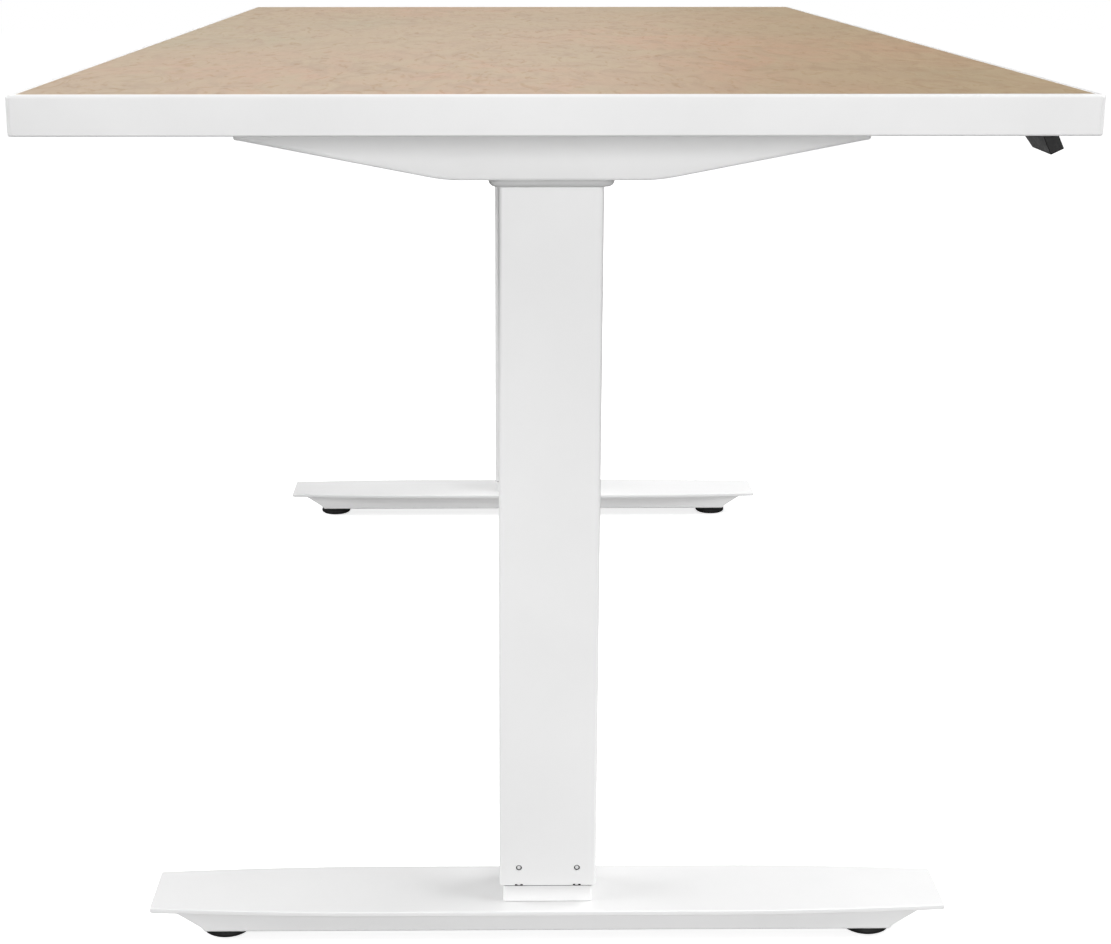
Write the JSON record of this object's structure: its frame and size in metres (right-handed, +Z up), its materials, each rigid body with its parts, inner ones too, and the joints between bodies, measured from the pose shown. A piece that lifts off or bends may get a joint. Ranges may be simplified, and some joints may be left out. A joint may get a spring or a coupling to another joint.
{
  "type": "height adjustable standing desk",
  "caption": "Sit-stand desk: laminate top with a white edge band on motor-driven telescoping columns, flat feet with screw levellers and a tilting control paddle.",
  "frame": {"origin": "on the floor under the centre of the top", "axes": "+X along the desk to the seated user's right, +Y away from the user, +Z up"},
  "size_m": [1.524, 0.762, 0.707],
  "materials": {
    "wood_laminate": "satin beech-look laminate with a fine grain",
    "backer_sheet": "matt light grey balancing sheet",
    "white_edge_band": "satin white, softly rounded arrises",
    "white_powder_coat": "satin white powder coat with fine orange peel",
    "grey_cap": "satin light grey powder coat",
    "black_plastic": "fine-grained moulded black plastic",
    "cable_jacket": "matt black PVC jacket",
    "motor_paint": "satin black enamel",
    "pad_rubber": "matt black rubber",
    "nut_brass": "machined, lightly greased",
    "glide_nylon": "natural nylon",
    "cast_alloy": "as-cast, matt",
    "zinc_steel": "bright zinc plated"
  },
  "bodies": {
    "base_left": {"inner_tube_left": "white_powder_coat", "inner_glide_left": "glide_nylon", "spindle_nut_left": "nut_brass", "foot_cover_left": "white_powder_coat", "foot_beam_left": "white_powder_coat", "column_base_plate_left": "zinc_steel", "foot_bolt_front_left": "zinc_steel", "foot_bolt_rear_left": "zinc_steel"},
    "desk_top": {"desktop_panel": "wood_laminate", "desktop_backer": "backer_sheet", "edge_band": "white_edge_band", "side_arm_left": "white_powder_coat", "side_arm_right": "white_powder_coat", "column_cap_left": "grey_cap", "column_cap_right": "grey_cap", "front_rail_left": "white_powder_coat", "front_rail_right": "white_powder_coat", "front_rail_inner": "zinc_steel", "rear_rail_left": "white_powder_coat", "rear_rail_right": "white_powder_coat", "rear_rail_inner": "zinc_steel", "outer_tube_left": "white_powder_coat", "outer_tube_right": "white_powder_coat", "outer_glide_left": "glide_nylon", "outer_glide_right": "glide_nylon", "gearbox_left": "cast_alloy", "gearbox_right": "cast_alloy", "motor_left": "motor_paint", "motor_right": "motor_paint", "control_box": "black_plastic", "power_inlet": "black_plastic", "paddle_bracket": "black_plastic", "paddle_pin": "zinc_steel", "motor_cable_left": "cable_jacket", "motor_cable_right": "cable_jacket", "handset_cable": "cable_jacket", "arm_screw_front_left": "zinc_steel", "arm_screw_front_right": "zinc_steel", "arm_screw_rear_left": "zinc_steel", "arm_screw_rear_right": "zinc_steel"},
    "base_right": {"inner_tube_right": "white_powder_coat", "inner_glide_right": "glide_nylon", "spindle_nut_right": "nut_brass", "foot_cover_right": "white_powder_coat", "foot_beam_right": "white_powder_coat", "column_base_plate_right": "zinc_steel", "foot_bolt_front_right": "zinc_steel", "foot_bolt_rear_right": "zinc_steel"},
    "screw_left": {"lead_screw_left": "zinc_steel"},
    "screw_right": {"lead_screw_right": "zinc_steel"},
    "paddle": {"control_paddle": "black_plastic"},
    "leveler_front_left": {"leveler_pad_front_left": "pad_rubber", "leveler_stud_front_left": "zinc_steel"},
    "leveler_front_right": {"leveler_pad_front_right": "pad_rubber", "leveler_stud_front_right": "zinc_steel"},
    "leveler_rear_left": {"leveler_pad_rear_left": "pad_rubber", "leveler_stud_rear_left": "zinc_steel"},
    "leveler_rear_right": {"leveler_pad_rear_right": "pad_rubber", "leveler_stud_rear_right": "zinc_steel"}
  },
  "joints": [
    {"name": "left_column_lift", "type": "slide", "parent": "base_left", "child": "desk_top", "axis": [0, 0, 1], "range_m": [0, 0.45]},
    {"name": "right_column_lift", "type": "slide", "parent": "desk_top", "child": "base_right", "axis": [0, 0, -1], "range_m": [0, 0.45]},
    {"name": "left_screw_turn", "type": "hinge", "parent": "desk_top", "child": "screw_left", "pos_m": [-0.624, 0, 0.4], "axis": [0, 0, 1], "range_deg": [0, 13501]},
    {"name": "right_screw_turn", "type": "hinge", "parent": "desk_top", "child": "screw_right", "pos_m": [0.624, 0, 0.4], "axis": [0, 0, 1], "range_deg": [0, 13501]},
    {"name": "control_paddle_tilt", "type": "hinge", "parent": "desk_top", "child": "paddle", "pos_m": [-0.637, -0.3685, 0.6724], "axis": [1, 0, 0], "range_deg": [-7, 7], "stiffness_Nm_per_rad": 0.5},
    {"name": "leveler_front_left_screw", "type": "slide", "parent": "base_left", "child": "leveler_front_left", "axis": [0, 0, -1], "range_m": [0, 0.012]},
    {"name": "leveler_front_right_screw", "type": "slide", "parent": "base_right", "child": "leveler_front_right", "axis": [0, 0, -1], "range_m": [0, 0.012]},
    {"name": "leveler_rear_left_screw", "type": "slide", "parent": "base_left", "child": "leveler_rear_left", "axis": [0, 0, -1], "range_m": [0, 0.012]},
    {"name": "leveler_rear_right_screw", "type": "slide", "parent": "base_right", "child": "leveler_rear_right", "axis": [0, 0, -1], "range_m": [0, 0.012]}
  ],
  "couplings": [
    {"joint": "right_column_lift", "follows": "left_column_lift", "ratio": 1},
    {"joint": "left_screw_turn", "follows": "left_column_lift", "rad_per_m": 523.6},
    {"joint": "right_screw_turn", "follows": "left_column_lift", "rad_per_m": 523.6}
  ]
}
